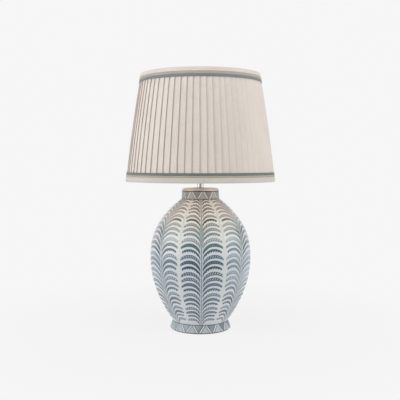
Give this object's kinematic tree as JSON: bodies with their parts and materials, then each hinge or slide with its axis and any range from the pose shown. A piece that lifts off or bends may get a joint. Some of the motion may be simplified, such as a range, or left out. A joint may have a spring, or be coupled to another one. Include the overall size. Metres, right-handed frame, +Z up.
{
  "type": "table lamp",
  "caption": "Table lamp with a glazed, painted ceramic vase base, a metal neck cap and stem, and a tapered pleated fabric shade with ribbon trims.",
  "frame": {"origin": "centre of the felt's resting face, on the lamp's axis", "axes": "+Z up along the lamp's axis; the picture's front is -Y; +Y points out of the cable exit at the back; +X is the way the switch bar is pushed"},
  "size_m": [0.356, 0.356, 0.6053],
  "materials": {
    "glazed_ceramic": "gloss glaze, painted fronds and zigzag bands in blue, slate and taupe on an off-white ground",
    "antique_gold": "satin, antique gold",
    "polished_nickel": "polished",
    "zinc_steel": "zinc plated",
    "brass_contact": "satin",
    "white_holder": "gloss",
    "insulator": "matte",
    "bulb_metal": "satin",
    "bulb_black_glass": "gloss",
    "bulb_collar": "matte",
    "led_board": "matte",
    "opal_glass": "opal",
    "felt": "felt",
    "grommet_rubber": "matte",
    "gasket_rubber": "matte",
    "cork": "cork",
    "frame_white": "white powder coat",
    "lining": "plain weave lining",
    "pleated_cloth": "ivory cotton in knife pleats",
    "cream_binding": "woven binding",
    "olive_ribbon": "woven ribbon",
    "blue_ribbon": "woven ribbon"
  },
  "bodies": {
    "lamp_base": {"vase_body": "glazed_ceramic", "felt_pad": "felt", "cable_grommet": "grommet_rubber", "cork_washer": "cork", "steel_washer": "zinc_steel", "base_nut": "zinc_steel", "threaded_rod": "zinc_steel", "neck_gasket": "gasket_rubber", "neck_cap": "antique_gold", "stem_tube": "polished_nickel", "stem_nut": "polished_nickel", "lampholder_base": "white_holder", "lampholder_skirt": "white_holder", "lampholder_core": "insulator", "screw_shell": "brass_contact", "centre_contact": "brass_contact", "terminal_screws": "brass_contact", "lower_shade_ring": "white_holder", "upper_shade_ring": "white_holder", "bulb_tip": "bulb_metal", "bulb_insulator": "bulb_black_glass", "bulb_screw_cap": "bulb_metal", "bulb_collar": "bulb_collar", "led_board": "led_board", "bulb_globe": "opal_glass"},
    "switch": {"switch_bar": "white_holder"},
    "shade": {"fitting_ring": "frame_white", "shade_arms": "frame_white", "bottom_wire_ring": "frame_white", "top_wire_ring": "frame_white", "shade_struts": "frame_white", "shade_lining": "lining", "pleated_cover": "pleated_cloth", "bottom_binding": "cream_binding", "bottom_olive_ribbon": "olive_ribbon", "bottom_blue_ribbon": "blue_ribbon", "top_binding": "cream_binding", "top_olive_ribbon": "olive_ribbon", "top_blue_ribbon": "blue_ribbon"}
  },
  "joints": [
    {"name": "switch_push", "type": "slide", "parent": "lamp_base", "child": "switch", "axis": [1, 0, 0], "range_m": [0, 0.006]},
    {"name": "shade_turn", "type": "hinge", "parent": "lamp_base", "child": "shade", "pos_m": [0, 0, 0.3913], "axis": [0, 0, 1], "continuous": true}
  ]
}
